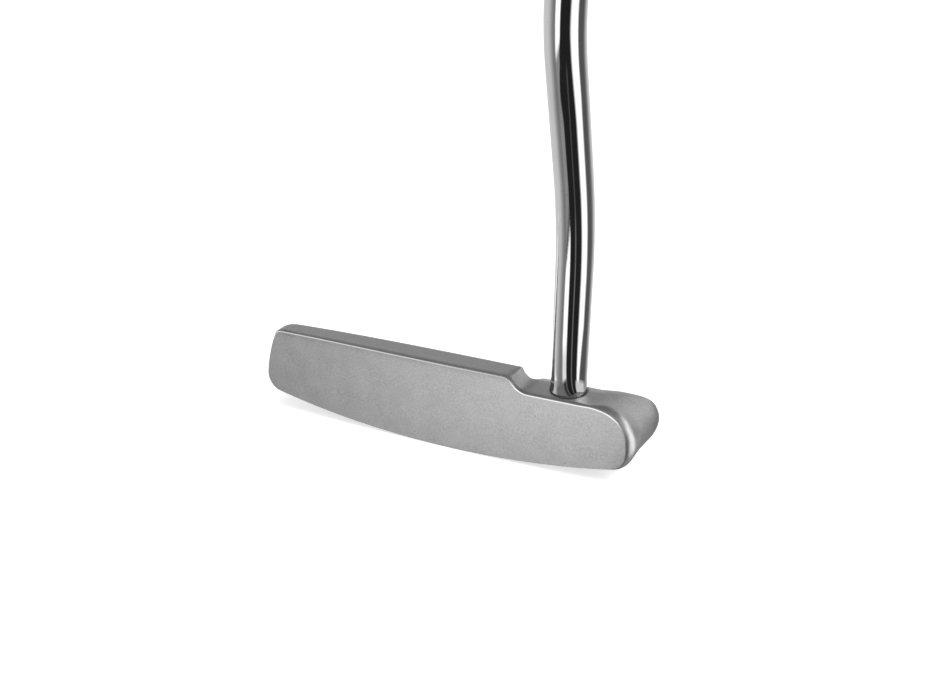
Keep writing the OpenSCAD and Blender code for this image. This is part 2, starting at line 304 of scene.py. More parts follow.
def head_outline(crown_r, heel_x, round_w, turn_z, low_r):
    """The head seen from the front: the sole's camber, the heel's corners, which reach
    heel_x, the upper one an ellipse round_w wide from turn_z up and the lower one of the
    radius low_r, softly joined where they overlap, the ledge, an S-shaped step whose crown
    has the radius crown_r, the topline, and the toe's bulge between two corners."""
    sole = np.array([0.0, SOLE_R])
    toe = np.array([TOE_SIDE_R - TOE_REACH, TOE_WIDE_Z])
    toe_low = meet(toe, TOE_SIDE_R - TOE_LOW_R, sole, SOLE_R - TOE_LOW_R)
    top_z = HEAD_H - TOE_TOP_R
    toe_top_x = toe[0] - math.sqrt((TOE_SIDE_R - TOE_TOP_R) ** 2 - (top_z - toe[1]) ** 2)
    toe_top = np.array([toe_top_x, top_z])
    low_x = heel_x - low_r
    heel_low = np.array([low_x, SOLE_R - math.sqrt((SOLE_R - low_r) ** 2 - low_x ** 2)])
    heel_top = np.array([heel_x - round_w, turn_z])
    turn = math.acos(1 - LEDGE_DROP / (STEP_FOOT_R + crown_r))
    foot = np.array([STEP_X, LEDGE_H + STEP_FOOT_R])
    crown = foot - (STEP_FOOT_R + crown_r) * np.array([math.sin(turn), math.cos(turn)])
    turn = math.degrees(turn)
    low = arc(heel_low, low_r, low_r, angle(sole, heel_low), 360, 32)
    high = arc(heel_top, round_w, LEDGE_H - turn_z, 0, 90, 50)
    if heel_low[1] > turn_z:
        low, high = low[low[:, 1] < turn_z], high[high[:, 1] > heel_low[1]]
        bend = soft_join(low[-1], low[-1] - low[-2], high[0], high[0] - high[1])
        low = np.concatenate([low, bend])
    points = np.concatenate([
        arc(toe_low, TOE_LOW_R, TOE_LOW_R, angle(toe, toe_low), angle(sole, toe_low), 14),
        arc(sole, SOLE_R, SOLE_R, angle(sole, toe_low), angle(sole, heel_low), 40),
        low, high,
        arc(foot, STEP_FOOT_R, STEP_FOOT_R, -90, -90 - turn, 14),
        arc(crown, crown_r, crown_r, 90 - turn, 90, 12),
        arc(toe_top, TOE_TOP_R, TOE_TOP_R, 90, angle(toe, toe_top), 12),
        arc(toe, TOE_SIDE_R, TOE_SIDE_R, angle(toe, toe_top), angle(toe, toe_low), 14),
    ])
    gap = np.linalg.norm(points - np.roll(points, 1, 0), axis=1)
    return points[gap > 1e-4]


def outline_distance(px, pz, outline):
    """Distance to a closed outline, below zero inside it: the least distance to any of its
    segments, with the sign from the number of segments that a ray crosses."""
    nearest = np.full(np.broadcast(px, pz).shape, 1e9)
    inside = np.zeros(nearest.shape, bool)
    for (x0, z0), (x1, z1) in zip(outline, np.roll(outline, -1, 0)):
        ex, ez = x1 - x0, z1 - z0
        t = np.clip(((px - x0) * ex + (pz - z0) * ez) / (ex * ex + ez * ez), 0, 1)
        nearest = np.minimum(nearest, (px - x0 - t * ex) ** 2 + (pz - z0 - t * ez) ** 2)
        if ez != 0:
            inside ^= ((z1 > pz) != (z0 > pz)) & (px < x0 + (pz - z0) * ex / ez)
    return np.where(inside, -1, 1) * np.sqrt(nearest)


# ---- The head as a field of distances ----

def round_and(a, b, r):
    """Field of what lies in both a and b, with a rounding of radius r where they meet."""
    outer = np.hypot(np.maximum(a + r, 0), np.maximum(b + r, 0))
    return np.minimum(-r, np.maximum(a, b)) + outer


def round_or(a, b, r):
    """Field of what lies in a or b, with a fillet of radius r where they meet."""
    return -round_and(-a, -b, r)


def face_y(z):
    """The strike face's plane at the height z."""
    return -FACE_AHEAD + z * math.tan(FACE_LOFT)


OUTLINE_FRONT = head_outline(STEP_CROWN_R, *HEEL_FRONT)
OUTLINE_BACK = head_outline(STEP_CROWN_BACK_R, *HEEL_BACK)
BLADE_BACK_Y = face_y(HEAD_H) + BLADE_T
BACK_Y = SOLE_DEPTH - FACE_AHEAD
MIDDLE_X = (HEEL_BACK[0] - TOE_REACH) / 2
HALF_LEN = (HEEL_BACK[0] + TOE_REACH) / 2


def mass_field(x, y, z, slope_y, slope_z, top, dome_r, wall_x, side):
    """A mass at one end of the cavity: below a slope through (slope_y, slope_z) and below a
    flat top, rounded into each other, and beyond a drafted wall that stands at wall_x at
    the height MASS_WALL_Z. side is 1 for the heel's mass and -1 for the toe's."""
    slope = (y - slope_y) * math.sin(MASS_SLOPE) + (z - slope_z) * math.cos(MASS_SLOPE)
    section = round_and(slope, z - top + 0 * y, dome_r)
    wall = side * (wall_x - x) * math.cos(MASS_DRAFT) + (z - MASS_WALL_Z) * math.sin(MASS_DRAFT)
    return round_and(section, wall, WALL_EDGE_R)


def bore_field(x, y, z):
    """Distance to the shaft's bore: a cylinder about the lower leg's line, deeper than its
    floor, and a countersink that widens it by MOUTH_CHAMFER at the ledge."""
    px, py, pz = x - SEAT[0], y - SEAT[1], z - SEAT[2]
    up = px * LOWER_D[0] + py * LOWER_D[1] + pz * LOWER_D[2]
    out = np.sqrt(np.maximum(px * px + py * py + pz * pz - up * up, 0))
    wide = TIP_R + BOND_T + np.maximum(up + MOUTH_CHAMFER, 0)
    return np.maximum(out - wide, -BORE_DEPTH - up)


def head_field(x, y, z):
    """Distance to the head's surface, without the cut that makes the face flat. It is the
    outline carried from front to back, rounded into the face's plane and into the curved
    back, together with a blade wall, a flange and a mass at each end, less the sight line's
    groove and the bore. The front edge is tight along the sole and long and soft round the
    heel, and the topline falls a little from the toe towards the step."""
    fall = TOP_FALL * change(x, *FALL_ZONE_X) * change(z, *FALL_ZONE_Z)
    front = outline_distance(x, z + fall * (1 - change(x, *FRONT_LEDGE_ZONE_X)), OUTLINE_FRONT)
    back = outline_distance(x, z + fall * (1 - change(x, *BACK_LEDGE_ZONE_X)), OUTLINE_BACK)
    side = towards(front, back, change(y, *DEEP_ZONE_Y))
    heel = change(x, *HEEL_ZONE_X)
    edge = FACE_EDGE + EDGE_GROWTH * change(x, *GROWTH_ZONE_X)
    edge = towards(edge, SOLE_EDGE, change(z, *SOLE_ZONE_Z))
    edge = towards(edge, HEEL_EDGE, heel * change(z, *HEEL_ZONE_Z))
    edge_r = towards(FACE_EDGE_R, HEEL_EDGE_R, heel)
    reach = edge_r - np.sqrt(edge_r ** 2 - (edge_r - edge) ** 2)
    ahead = (face_y(z) - y) * math.cos(FACE_LOFT) - reach
    body = round_and(side, ahead, edge_r)
    across = (x - MIDDLE_X) / HALF_LEN
    behind = y - BACK_Y + BACK_SAG * across ** 2
    body = round_and(body, behind, towards(BACK_R, HEEL_BACK_R, heel))
    thick = BLADE_T - BLADE_SWELL * ((x - BLADE_FULL_X) / BLADE_SWELL_LEN) ** 2
    wall = y - face_y(HEAD_H) - thick
    keep = round_or(wall, z - FLANGE_H + y * math.tan(FLANGE_FALL), WALL_FILLET)
    crest_y = HEEL_CREST_Y - CREST_CUT * change(x, *CREST_ZONE_X)
    heel_mass = mass_field(x, y, z, crest_y, HEEL_CREST_Z, HEEL_DOME_Z, HEEL_DOME_R,
                           HEEL_MASS_X, 1)
    toe_mass = mass_field(x, y, z, TOE_CREST_Y, TOE_CREST_Z, TOE_DOME_Z, TOE_DOME_R,
                          -TOE_MASS_X, -1)
    keep = round_or(round_or(keep, heel_mass, MASS_FILLET), toe_mass, MASS_FILLET)
    body = round_and(body, keep, CAVITY_EDGE_R + TOE_SOFT_R * change(x, *TOE_ZONE_X))
    groove_y = (BLADE_BACK_Y + WALL_FILLET + BACK_Y - CAVITY_EDGE_R) / 2
    groove = np.maximum(np.abs(x + SIGHT_X) - SIGHT_W / 2, np.abs(y - groove_y) - SIGHT_LEN / 2)
    floor = FLANGE_H - y * math.tan(FLANGE_FALL) - SIGHT_DEPTH - z
    body = round_and(body, -np.maximum(groove, floor), GROOVE_EDGE_R)
    return round_and(body, -bore_field(x, y, z), BORE_EDGE_R)


def surface_net(x, y, z, values):
    """The surface where a field on a grid is zero. Each cell that the surface passes through
    gets one point, the mean of the crossings on its twelve edges, and each grid edge that
    crosses the surface gets one quad between its four cells."""
    inside = values < 0
    shape = np.array(values.shape)
    count = np.zeros(shape - 1, int)
    corners = [(a, b, c) for a in (0, 1) for b in (0, 1) for c in (0, 1)]
    for a, b, c in corners:
        count += inside[a:shape[0] - 1 + a, b:shape[1] - 1 + b, c:shape[2] - 1 + c]
    cells = np.argwhere((count > 0) & (count < 8))
    number = -np.ones(shape - 1, int)
    number[tuple(cells.T)] = np.arange(len(cells))
    total = np.zeros((len(cells), 3))
    crossings = np.zeros(len(cells))
    for axis in range(3):
        for corner in [k for k in corners if k[axis] == 0]:
            low = cells + corner
            high = low + np.eye(3, dtype=int)[axis]
            v0, v1 = values[tuple(low.T)], values[tuple(high.T)]
            cut = (v0 < 0) != (v1 < 0)
            place = np.tile(np.array(corner, float), (len(cells), 1))
            place[:, axis] += np.where(cut, v0 / np.where(cut, v0 - v1, 1), 0)
            total[cut] += place[cut]
            crossings += cut
    points = (cells + total / crossings[:, None]) * (x[1] - x[0]) + [x[0], y[0], z[0]]
    faces = []
    for axis in range(3):
        one, two = [k for k in range(3) if k != axis]
        inner = [slice(1, -1)] * 3
        low, high = list(inner), list(inner)
        low[axis], high[axis] = slice(0, -1), slice(1, None)
        before, after = inside[tuple(low)], inside[tuple(high)]
        edge = np.argwhere(before != after)
        turned = before[tuple(edge.T)] == (axis != 1)
        edge[:, one] += 1
        edge[:, two] += 1
        ring = []
        for d1, d2 in ((1, 1), (0, 1), (0, 0), (1, 0)):
            cell = edge.copy()
            cell[:, one] -= d1
            cell[:, two] -= d2
            ring.append(number[tuple(cell.T)])
        quads = np.stack(ring, -1)
        faces.append(np.where(turned[:, None], quads, quads[:, ::-1]))
    return points, np.concatenate(faces)


def settle(points, field, times=2, span=0.05):
    """Points moved along the field's slope until they lie on its zero surface."""
    for _ in range(times):
        here = field(*points.T)
        slope = np.stack([
            field(*(points + span * np.eye(3)[k]).T) - here for k in range(3)
        ], -1) / span
        step = here / np.maximum((slope ** 2).sum(-1), 0.25)
        points = points - np.clip(step, -0.2, 0.2)[:, None] * slope
    return points


# ---- The shaft's line ----

def leg(tilt, lean):
    """Direction of a leg that tilts towards the heel and leans forwards, in degrees."""
    tilt = math.radians(tilt)
    lean = math.radians(lean)
    return unit(np.array([math.sin(tilt), -math.sin(lean), math.cos(tilt) * math.cos(lean)]))


LOWER_D = leg(LOWER_TILT, LOWER_LEAN)
MIDDLE_D = leg(MIDDLE_TILT, MIDDLE_LEAN)
UPPER_D = leg(90 - SHAFT_LIE, 0)


def bend_line(start, d, e, r, n):
    """Places and directions along a bend of radius r from direction d to e: the place is
    start + r (1 - cos a) inward + r sin a d, with a in n equal steps."""
    turn = math.acos(d @ e)
    inward = unit(e - (d @ e) * d)
    a = np.linspace(0, turn, n + 1)[1:, None]
    places = start + r * (1 - np.cos(a)) * inward + r * np.sin(a) * d
    return places, np.cos(a) * d + np.sin(a) * inward


def shaft_line():
    """Places, directions and radii up the whole tube: the lower leg, the lower bend, the
    middle leg, the upper bend, and the straight upper leg with its steps. Each step is a
    short cone with rounded ends: cone gives the heights of its rings, and share the part
    of the step's rise that each of them has reached."""
    bend1 = SEAT + LOWER_LEG * LOWER_D
    places1, ways1 = bend_line(bend1, LOWER_D, MIDDLE_D, LOWER_BEND_R, 28)
    bend2 = places1[-1] + MIDDLE_LEG * MIDDLE_D
    places2, ways2 = bend_line(bend2, MIDDLE_D, UPPER_D, UPPER_BEND_R, 44)
    upper = places2[-1]
    turns = (LOWER_BEND_R * math.acos(LOWER_D @ MIDDLE_D)
             + UPPER_BEND_R * math.acos(MIDDLE_D @ UPPER_D))
    bent = LOWER_LEG + MIDDLE_LEG + turns
    leg_len = CLUB_LEN - CAP_T - LEDGE_H / LOWER_D[2] - bent
    pitch = (leg_len - GRIP_LEN - LAST_PLAIN - FIRST_STEP) / (STEP_COUNT - 1)
    rise = (BUTT_R - TIP_R) / STEP_COUNT
    foot = FIRST_STEP + pitch * np.arange(STEP_COUNT)
    cone = np.array([-0.35, 0.0, 0.35, 0.85, 1.2, 1.55]) * STEP_CONE
    share = np.array([0, 0.04, 0.3, 0.78, 0.97, 1.0])
    up = (foot[:, None] + cone).ravel()
    radius = (TIP_R + rise * (np.arange(STEP_COUNT)[:, None] + share)).ravel()
    up = np.append(up, leg_len)
    radius = np.append(radius, BUTT_R)
    places3 = upper + up[:, None] * UPPER_D
    bottom = SEAT - SEAT_DEPTH * LOWER_D
    places = np.concatenate([[bottom, bend1], places1, [bend2], places2, places3])
    ways = np.concatenate([
        [LOWER_D, LOWER_D], ways1, [MIDDLE_D], ways2, np.tile(UPPER_D, (len(up), 1))
    ])
    radii = np.concatenate([np.full(len(places) - len(up), TIP_R), radius])
    return places, ways, radii, upper, leg_len


PLACES, WAYS, RADII, UPPER, UPPER_LEN = shaft_line()


def rings_round(places, ways, radii, sides):
    """Rings of points round a line: place + radius (cos a u + sin a v), where u is square
    to the line in its plane of constant y, and v is square to both."""
    u = unit(np.stack([ways[:, 2], 0 * ways[:, 0], -ways[:, 0]], -1))
    v = np.cross(ways, u)
    a = np.linspace(0, 2 * np.pi, sides, endpoint=False)[None, :, None]
    ring = np.cos(a) * u[:, None] + np.sin(a) * v[:, None]
    return (places[:, None] + np.asarray(radii)[:, None, None] * ring).reshape(-1, 3)


def on_upper(up, forward, across):
    """Points in the upper leg's own frame: up along it, forward out of the grip's flat
    front, which looks towards the toe, and across to the side that the face looks to."""
    front = np.array([-UPPER_D[2], 0, UPPER_D[0]])
    side = np.array([0, -1.0, 0])
    return (UPPER + up[..., None] * UPPER_D + forward[..., None] * front
            + across[..., None] * side)


# ---- Pieces ----

def build_head(steel):
    """The field's surface, cut by the plane of the strike face. The cut edge gets a narrow
    bevel whose upward-facing parts carry a painted highlight, marked in the attribute
    painted_highlight_and_burnish, and the flat face fills what is left."""
    grid = 0.42
    pad = 2.2
    probe = 0.02
    x = np.arange(-TOE_REACH - pad, HEEL_FRONT[0] + pad, grid)
    y = np.arange(-FACE_AHEAD - pad, BACK_Y + pad, grid)
    z = np.arange(-pad, HEAD_H + pad, grid)
    values = head_field(x[:, None, None], y[None, :, None], z[None, None, :])
    points, faces = surface_net(x, y, z, values)
    points = settle(points, head_field)
    out = np.array([0, -math.cos(FACE_LOFT), math.sin(FACE_LOFT)])
    mesh = bpy.data.meshes.new("head")
    mesh.from_pydata(points.tolist(), [], faces.tolist())
    bm = bmesh.new()
    bm.from_mesh(mesh)
    painted_highlight_and_burnish = bm.verts.layers.float.new("painted_highlight_and_burnish")
    cut = np.array([0, face_y(0) + RIM_DEPTH / math.cos(FACE_LOFT), 0])
    geometry = bm.verts[:] + bm.edges[:] + bm.faces[:]
    bmesh.ops.bisect_plane(bm, geom=geometry, dist=1e-4, plane_co=cut, plane_no=out,
                           clear_outer=True)
    edges = [e for e in bm.edges if e.is_boundary]
    for inset, back, mark in ((RIM_INSET, RIM_DEPTH, 1), (RIM_BEVEL, 0, 1), (RIM_FADE, 0, 0)):
        grown = bmesh.ops.extrude_edge_only(bm, edges=edges)["geom"]
        verts = [g for g in grown if isinstance(g, bmesh.types.BMVert)]
        edges = [g for g in grown if isinstance(g, bmesh.types.BMEdge)]
        co = np.array([v.co for v in verts])
        here = outline_distance(co[:, 0], co[:, 2], OUTLINE_FRONT)
        dx = outline_distance(co[:, 0] + probe, co[:, 2], OUTLINE_FRONT) - here
        dz = outline_distance(co[:, 0], co[:, 2] + probe, OUTLINE_FRONT) - here
        moved = co - inset * unit(np.stack([dx, 0 * dx, dz], -1))
        moved[:, 1] = face_y(moved[:, 2]) + back / math.cos(FACE_LOFT)
        # Painted highlight: the bevel's rings are marked for a light colour where the outline
        # faces up, and less of it towards the heel.
        painted_highlight = mark * change(dz / probe, 0.3, 0.6)
        painted_highlight = towards(painted_highlight, HEEL_HIGHLIGHT_SHARE * painted_highlight, change(co[:, 0], *BACK_LEDGE_ZONE_X))
        for v, place, amount in zip(verts, moved, painted_highlight):
            v.co = place
            v[painted_highlight_and_burnish] = amount
    bmesh.ops.contextual_create(bm, geom=edges)
    bmesh.ops.recalc_face_normals(bm, faces=bm.faces[:])
    bmesh.ops.scale(bm, vec=(MM, MM, MM), verts=bm.verts[:])
    bm.to_mesh(mesh)
    bm.free()
    head = new_object("head_blade", mesh)
    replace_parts(head, "head")
    return dress(head, steel)


def build_shaft(chrome):
    """The tube: rings up its outside and back down its inside, closed at both lips."""
    sides = 72
    outside = rings_round(PLACES, WAYS, RADII, sides)
    inside = rings_round(PLACES[::-1], WAYS[::-1], RADII[::-1] - SHAFT_WALL, sides)
    rows = 2 * len(PLACES)
    tube = make_piece("shaft_tube", np.concatenate([outside, inside]),
                      grid_faces(rows, sides, close_rows=True), chrome)
    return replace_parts(tube, "shaft")


def build_bond(epoxy):
    """The epoxy turned round the lower leg's line: a thin sleeve down the bore, and a
    hollow fillet that fills the countersink and creeps up the tube. Its upper edge follows
    the head's surface: it lies where the head's own distance field is zero on lines just
    outside the countersink, and no higher than the seat."""
    sides = 72
    a = np.radians(np.linspace(90, 180, 9))
    width = MOUTH_CHAMFER + BOND_T - BOND_SHY
    fillet_r = TIP_R + width * (1 + np.cos(a))
    fillet_h = BOND_CREEP * (1 - np.sin(a)) - BOND_SINK
    bore_r = TIP_R + BOND_T
    radius = np.concatenate([[TIP_R - BOND_OVERLAP, bore_r, bore_r], fillet_r])
    height = np.concatenate([[-SEAT_DEPTH, -SEAT_DEPTH, -MOUTH_CHAMFER], fillet_h])
    places = SEAT + height[:, None] * LOWER_D
    ways = np.tile(LOWER_D, (len(height), 1))
    points = rings_round(places, ways, radius, sides).reshape(-1, sides, 3)
    out = unit(points[-1] - places[-1])
    depth, gap = np.linspace(-3, 0.5, 36, retstep=True)
    probe = SEAT + depth[:, None, None] * LOWER_D + (bore_r + 0.6) * out
    field = head_field(probe[..., 0], probe[..., 1], probe[..., 2])
    last = len(depth) - 2 - np.argmax(field[-2::-1] < 0, axis=0)
    below = np.take_along_axis(field, last[None], 0)[0]
    above = np.take_along_axis(field, last[None] + 1, 0)[0]
    level = np.minimum(depth[last] + gap * below / (below - above), 0)
    points[2:] += level[None, :, None] * LOWER_D
    quads = grid_faces(len(height), sides, close_rows=True)
    ring = make_piece("epoxy_ring", points.reshape(-1, 3), quads, epoxy)
    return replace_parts(ring, "shaft_bond")


def power(v, k):
    """|v| to the power k, with the sign of v."""
    return np.sign(v) * np.abs(v) ** k


def grip_outline(s, a):
    """Outline of the grip at the share s of its length from its foot, at the angle a round
    it: half an ellipse at the back and a flattened half at the front. It widens as s^0.7
    and its back swells as s^4."""
    foot_r = BUTT_R + TAPE_T + GRIP_END_T
    grow = s ** 0.7
    half_w = towards(GRIP_END_W, GRIP_BUTT_W, grow) / 2
    front = towards(foot_r, GRIP_FRONT, grow)
    back = towards(foot_r, towards(GRIP_FRONT, GRIP_BACK, s ** 4), grow)
    flat = 0.45 + 0.55 * (1 - s) ** 2
    c, n = np.cos(a), np.sin(a)
    ahead = c > 0
    return (np.where(ahead, front * power(c, flat), back * c),
            half_w * np.where(ahead, power(n, flat), n))


def even_angles(n):
    """Angles at nearly equal steps along the grip's outline near its butt."""
    a = np.linspace(0, 2 * np.pi, 4001)
    x, y = grip_outline(np.full_like(a, 0.8), a)
    run = np.append(0, np.cumsum(np.hypot(np.diff(x), np.diff(y))))
    return np.interp(np.linspace(0, run[-1], n, endpoint=False), run, a)


def grip_relief(up, around, a):
    """Depth of the moulded pattern: rows of round dimples on the flat front, and crossed
    diagonal grooves on the sides and back, with a plain band between. It fades out towards
    both ends."""
    ends = change(up, RELIEF_FOOT, RELIEF_FADE) * change(up, RELIEF_TOP, -RELIEF_FADE)
    facing = np.cos(a)
    on_front = change(facing, 0.3, 0.12)
    u, v = up / DIMPLE_PITCH, around / DIMPLE_PITCH
    v = v + 0.5 * (np.floor(u) % 2)
    dot = np.hypot(u - np.floor(u) - 0.5, v - np.floor(v) - 0.5)
    dots = change(dot, DIMPLE_R, -0.1)
    p = (up + GROOVE_SLANT * around) / GROOVE_PITCH
    q = (up - GROOVE_SLANT * around) / GROOVE_PITCH
    lines = np.minimum(np.abs(p - np.round(p)), np.abs(q - np.round(q)))
    grooves = change(lines, GROOVE_HALF_W, -0.07)
    band = change(np.abs(facing - PLAIN_BAND), 0.03, 0.03)
    return RELIEF * ends * band * (on_front * dots + (1 - on_front) * grooves)


def build_grip(rubber):
    """The grip: outlines along the upper leg, pressed in by the moulded pattern, with a
    rounded lip at its foot, and its bore inside."""
    sides = 176
    rows = 500
    up = np.concatenate([[0, 0.15, 0.5], np.linspace(1.0, GRIP_LEN, rows)])[:, None]
    a = even_angles(sides)[None, :]
    s = up / GRIP_LEN
    ahead, across = grip_outline(s, a)
    step = np.hypot(np.diff(ahead, axis=1, append=ahead[:, :1]),
                    np.diff(across, axis=1, append=across[:, :1]))
    around = np.cumsum(step, 1) - step
    around = around - around[:, -1:] / 2
    depth = grip_relief(up, around, a) + GRIP_LIP * (1 - smooth(up / GRIP_LIP_LEN))
    r = np.hypot(ahead, across)
    ahead, across = ahead * (1 - depth / r), across * (1 - depth / r)
    outside = on_upper(UPPER_LEN - GRIP_LEN + up + 0 * a, ahead, across)
    bore = BUTT_R + TAPE_T
    ends = np.array([GRIP_LEN, 0.0])[:, None]
    inside = on_upper(UPPER_LEN - GRIP_LEN + ends + 0 * a, bore * np.cos(a) + 0 * ends,
                      bore * np.sin(a) + 0 * ends)
    points = np.concatenate([outside.reshape(-1, 3), inside.reshape(-1, 3)])
    grip = make_piece("grip_rubber", points, grid_faces(len(up) + 2, sides, close_rows=True),
                      rubber)
    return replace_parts(grip, "grip")


def build_cap(rubber):
    """The butt cap: the grip's last outline, rounded over into a flat top that runs in to
    the vent hole's lip, down the hole and back out underneath. The top lies just inside
    the part's own."""
    sides = 96
    a = even_angles(sides)[None, :]
    ahead, across = grip_outline(np.ones((1, 1)), a)
    over = np.radians(np.linspace(0, 90, 9))
    off = np.concatenate([[CAP_SEAM, 0, 0], CAP_ROUND * (1 - np.cos(over))])
    up = np.concatenate([[0, CAP_SEAM, 0.5], CAP_TOP - CAP_ROUND + CAP_ROUND * np.sin(over)])
    r = np.hypot(ahead, across)
    shrink = 1 - off[:, None] / r
    side = on_upper(UPPER_LEN + up[:, None] + 0 * a, ahead * shrink, across * shrink)
    share = np.array([0.25, 0.5, 0.75, 1.0])[:, None]
    lip = VENT_R + VENT_LIP
    top = on_upper(UPPER_LEN + CAP_TOP + 0 * (share + a),
                   ahead * shrink[-1] * (1 - share) + lip * np.cos(a) * share,
                   across * shrink[-1] * (1 - share) + lip * np.sin(a) * share)
    turn = np.radians(np.linspace(0, 90, 6))[1:, None]
    hole_r = np.concatenate([lip - VENT_LIP * np.sin(turn), [[VENT_R]]])
    hole_up = np.concatenate([CAP_TOP - VENT_LIP * (1 - np.cos(turn)), [[0.0]]])
    hole = on_upper(UPPER_LEN + hole_up + 0 * a, hole_r * np.cos(a), hole_r * np.sin(a))
    points = np.concatenate([rows.reshape(-1, 3) for rows in (side, top, hole)])
    count = len(up) + len(share) + len(hole_up)
    cap = make_piece("butt_cap", points, grid_faces(count, sides, close_rows=True),
                     rubber)
    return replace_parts(cap, "grip_cap")


# ---- Finishes ----

def new_group(name, inputs, outputs):
    """An empty node group with named number inputs and named number outputs."""
    group = bpy.data.node_groups.new(name, "ShaderNodeTree")
    for label, value in inputs:
        socket = group.interface.new_socket(label, in_out="INPUT", socket_type="NodeSocketFloat")
        socket.default_value = value
    for label in outputs:
        group.interface.new_socket(label, in_out="OUTPUT", socket_type="NodeSocketFloat")
    return group, group.nodes.new("NodeGroupInput"), group.nodes.new("NodeGroupOutput")


def add(tree, kind, sockets=None, **settings):
    """A node with its settings, and its input sockets set or linked."""
    node = tree.nodes.new(kind)
    for key, value in settings.items():
        setattr(node, key, value)
    for key, value in (sockets or {}).items():
        if isinstance(value, bpy.types.NodeSocket):
            tree.links.new(value, node.inputs[key])
        else:
            node.inputs[key].default_value = value
    return node


def maths(tree, operation, a, b, clamp=False):
    """One operation on two numbers or sockets."""
    return add(tree, "ShaderNodeMath", {0: a, 1: b}, operation=operation,
               use_clamp=clamp).outputs[0]


def scaled_noise(tree, place, size, detail, roughness=0.55):
    """Noise whose grain is as large as the value of the socket size, in metres."""
    scale = maths(tree, "DIVIDE", 1.0, size)
    return add(tree, "ShaderNodeTexNoise", {
        "Vector": place, "Scale": scale, "Detail": detail, "Roughness": roughness
    }).outputs["Fac"]


def grain_group():
    """Blasted grain: fine and coarse noise mixed, for colour and for height."""
    tree, given, out = new_group("blasted_grain", [("Fine", 0.0003), ("Coarse", 0.002),
                                                   ("Share", 0.5)], ["Grain", "Cloud"])
    place = add(tree, "ShaderNodeTexCoord").outputs["Object"]
    fine = scaled_noise(tree, place, given.outputs["Fine"], 3.0)
    coarse = scaled_noise(tree, place, given.outputs["Coarse"], 4.0)
    mix = add(tree, "ShaderNodeMix", {0: given.outputs["Share"], 2: fine, 3: coarse})
    tree.links.new(mix.outputs[0], out.inputs["Grain"])
    tree.links.new(coarse, out.inputs["Cloud"])
    return tree


def specks_group():
    """Sparse specks: the nearest of a cloud of random points, where it is very near."""
    tree, given, out = new_group("specks", [("Spacing", 0.004), ("Size", 0.08)], ["Mask"])
    place = add(tree, "ShaderNodeTexCoord").outputs["Object"]
    scale = maths(tree, "DIVIDE", 1.0, given.outputs["Spacing"])
    cell = add(tree, "ShaderNodeTexVoronoi", {"Vector": place, "Scale": scale})
    near = maths(tree, "LESS_THAN", cell.outputs["Distance"], given.outputs["Size"])
    tree.links.new(near, out.inputs["Mask"])
    return tree


def scuffs_group():
    """Short faint scratches: noise stretched along one way, where it peaks."""
    tree, given, out = new_group("scuffs", [("Length", 60.0), ("Width", 900.0),
                                            ("Cut", 0.68)], ["Mask"])
    place = add(tree, "ShaderNodeTexCoord").outputs["Object"]
    ways = add(tree, "ShaderNodeCombineXYZ", {0: given.outputs["Length"],
                                              1: given.outputs["Width"],
                                              2: given.outputs["Width"]})
    bent = add(tree, "ShaderNodeMapping", {"Vector": place, "Rotation": (0.15, 0.5, 0.1),
                                           "Scale": ways.outputs[0]})
    noise = add(tree, "ShaderNodeTexNoise", {"Vector": bent.outputs[0], "Scale": 1.0,
                                             "Detail": 2.0})
    peak = add(tree, "ShaderNodeMapRange", {"Value": noise.outputs["Fac"],
                                            "From Min": given.outputs["Cut"],
                                            "From Max": 0.8})
    tree.links.new(peak.outputs[0], out.inputs["Mask"])
    return tree


GRAIN = grain_group()
SPECKS = specks_group()
SCUFFS = scuffs_group()


def new_finish(name, **sockets):
    """A material with one Principled BSDF, its constant sockets set by name."""
    material = bpy.data.materials.new(name)
    material.use_nodes = True
    tree = material.node_tree
    shader = tree.nodes["Principled BSDF"]
    for key, value in sockets.items():
        shader.inputs[key.replace("_", " ")].default_value = value
    return material, tree, shader


def place_group(tree, group, **values):
    """A node group placed in a material with its own values."""
    node = tree.nodes.new("ShaderNodeGroup")
    node.node_tree = group
    for key, value in values.items():
        node.inputs[key].default_value = value
    return node


def ramp(tree, value, stops):
    """A colour ramp with grey or coloured stops, given as (place, colour)."""
    node = tree.nodes.new("ShaderNodeValToRGB")
    elements = node.color_ramp.elements
    while len(elements) < len(stops):
        elements.new(0.5)
    for element, (place, colour) in zip(elements, stops):
        element.position = place
        colour = (colour,) * 3 if isinstance(colour, float) else colour
        element.color = (*colour, 1)
    tree.links.new(value, node.inputs[0])
    return node.outputs[0]


def mix_colour(tree, share, a, b):
    """a and b mixed by a share, as colours."""
    node = add(tree, "ShaderNodeMix", {0: share}, data_type="RGBA")
    for socket, value in ((node.inputs[6], a), (node.inputs[7], b)):
        if isinstance(value, bpy.types.NodeSocket):
            tree.links.new(value, socket)
        else:
            socket.default_value = (*value, 1)
    return node.outputs[2]


def map_range(tree, value, low, high, to_low, to_high):
    """A number carried from one range to another."""
    return add(tree, "ShaderNodeMapRange", {"Value": value, "From Min": low, "From Max": high,
                                            "To Min": to_low, "To Max": to_high}).outputs[0]


def bump(tree, shader, height, distance, strength=1.0):
    """Relief on a shader's normal from a height, in metres."""
    node = add(tree, "ShaderNodeBump", {"Height": height, "Distance": distance,
                                        "Strength": strength})
    tree.links.new(node.outputs[0], shader.inputs["Normal"])


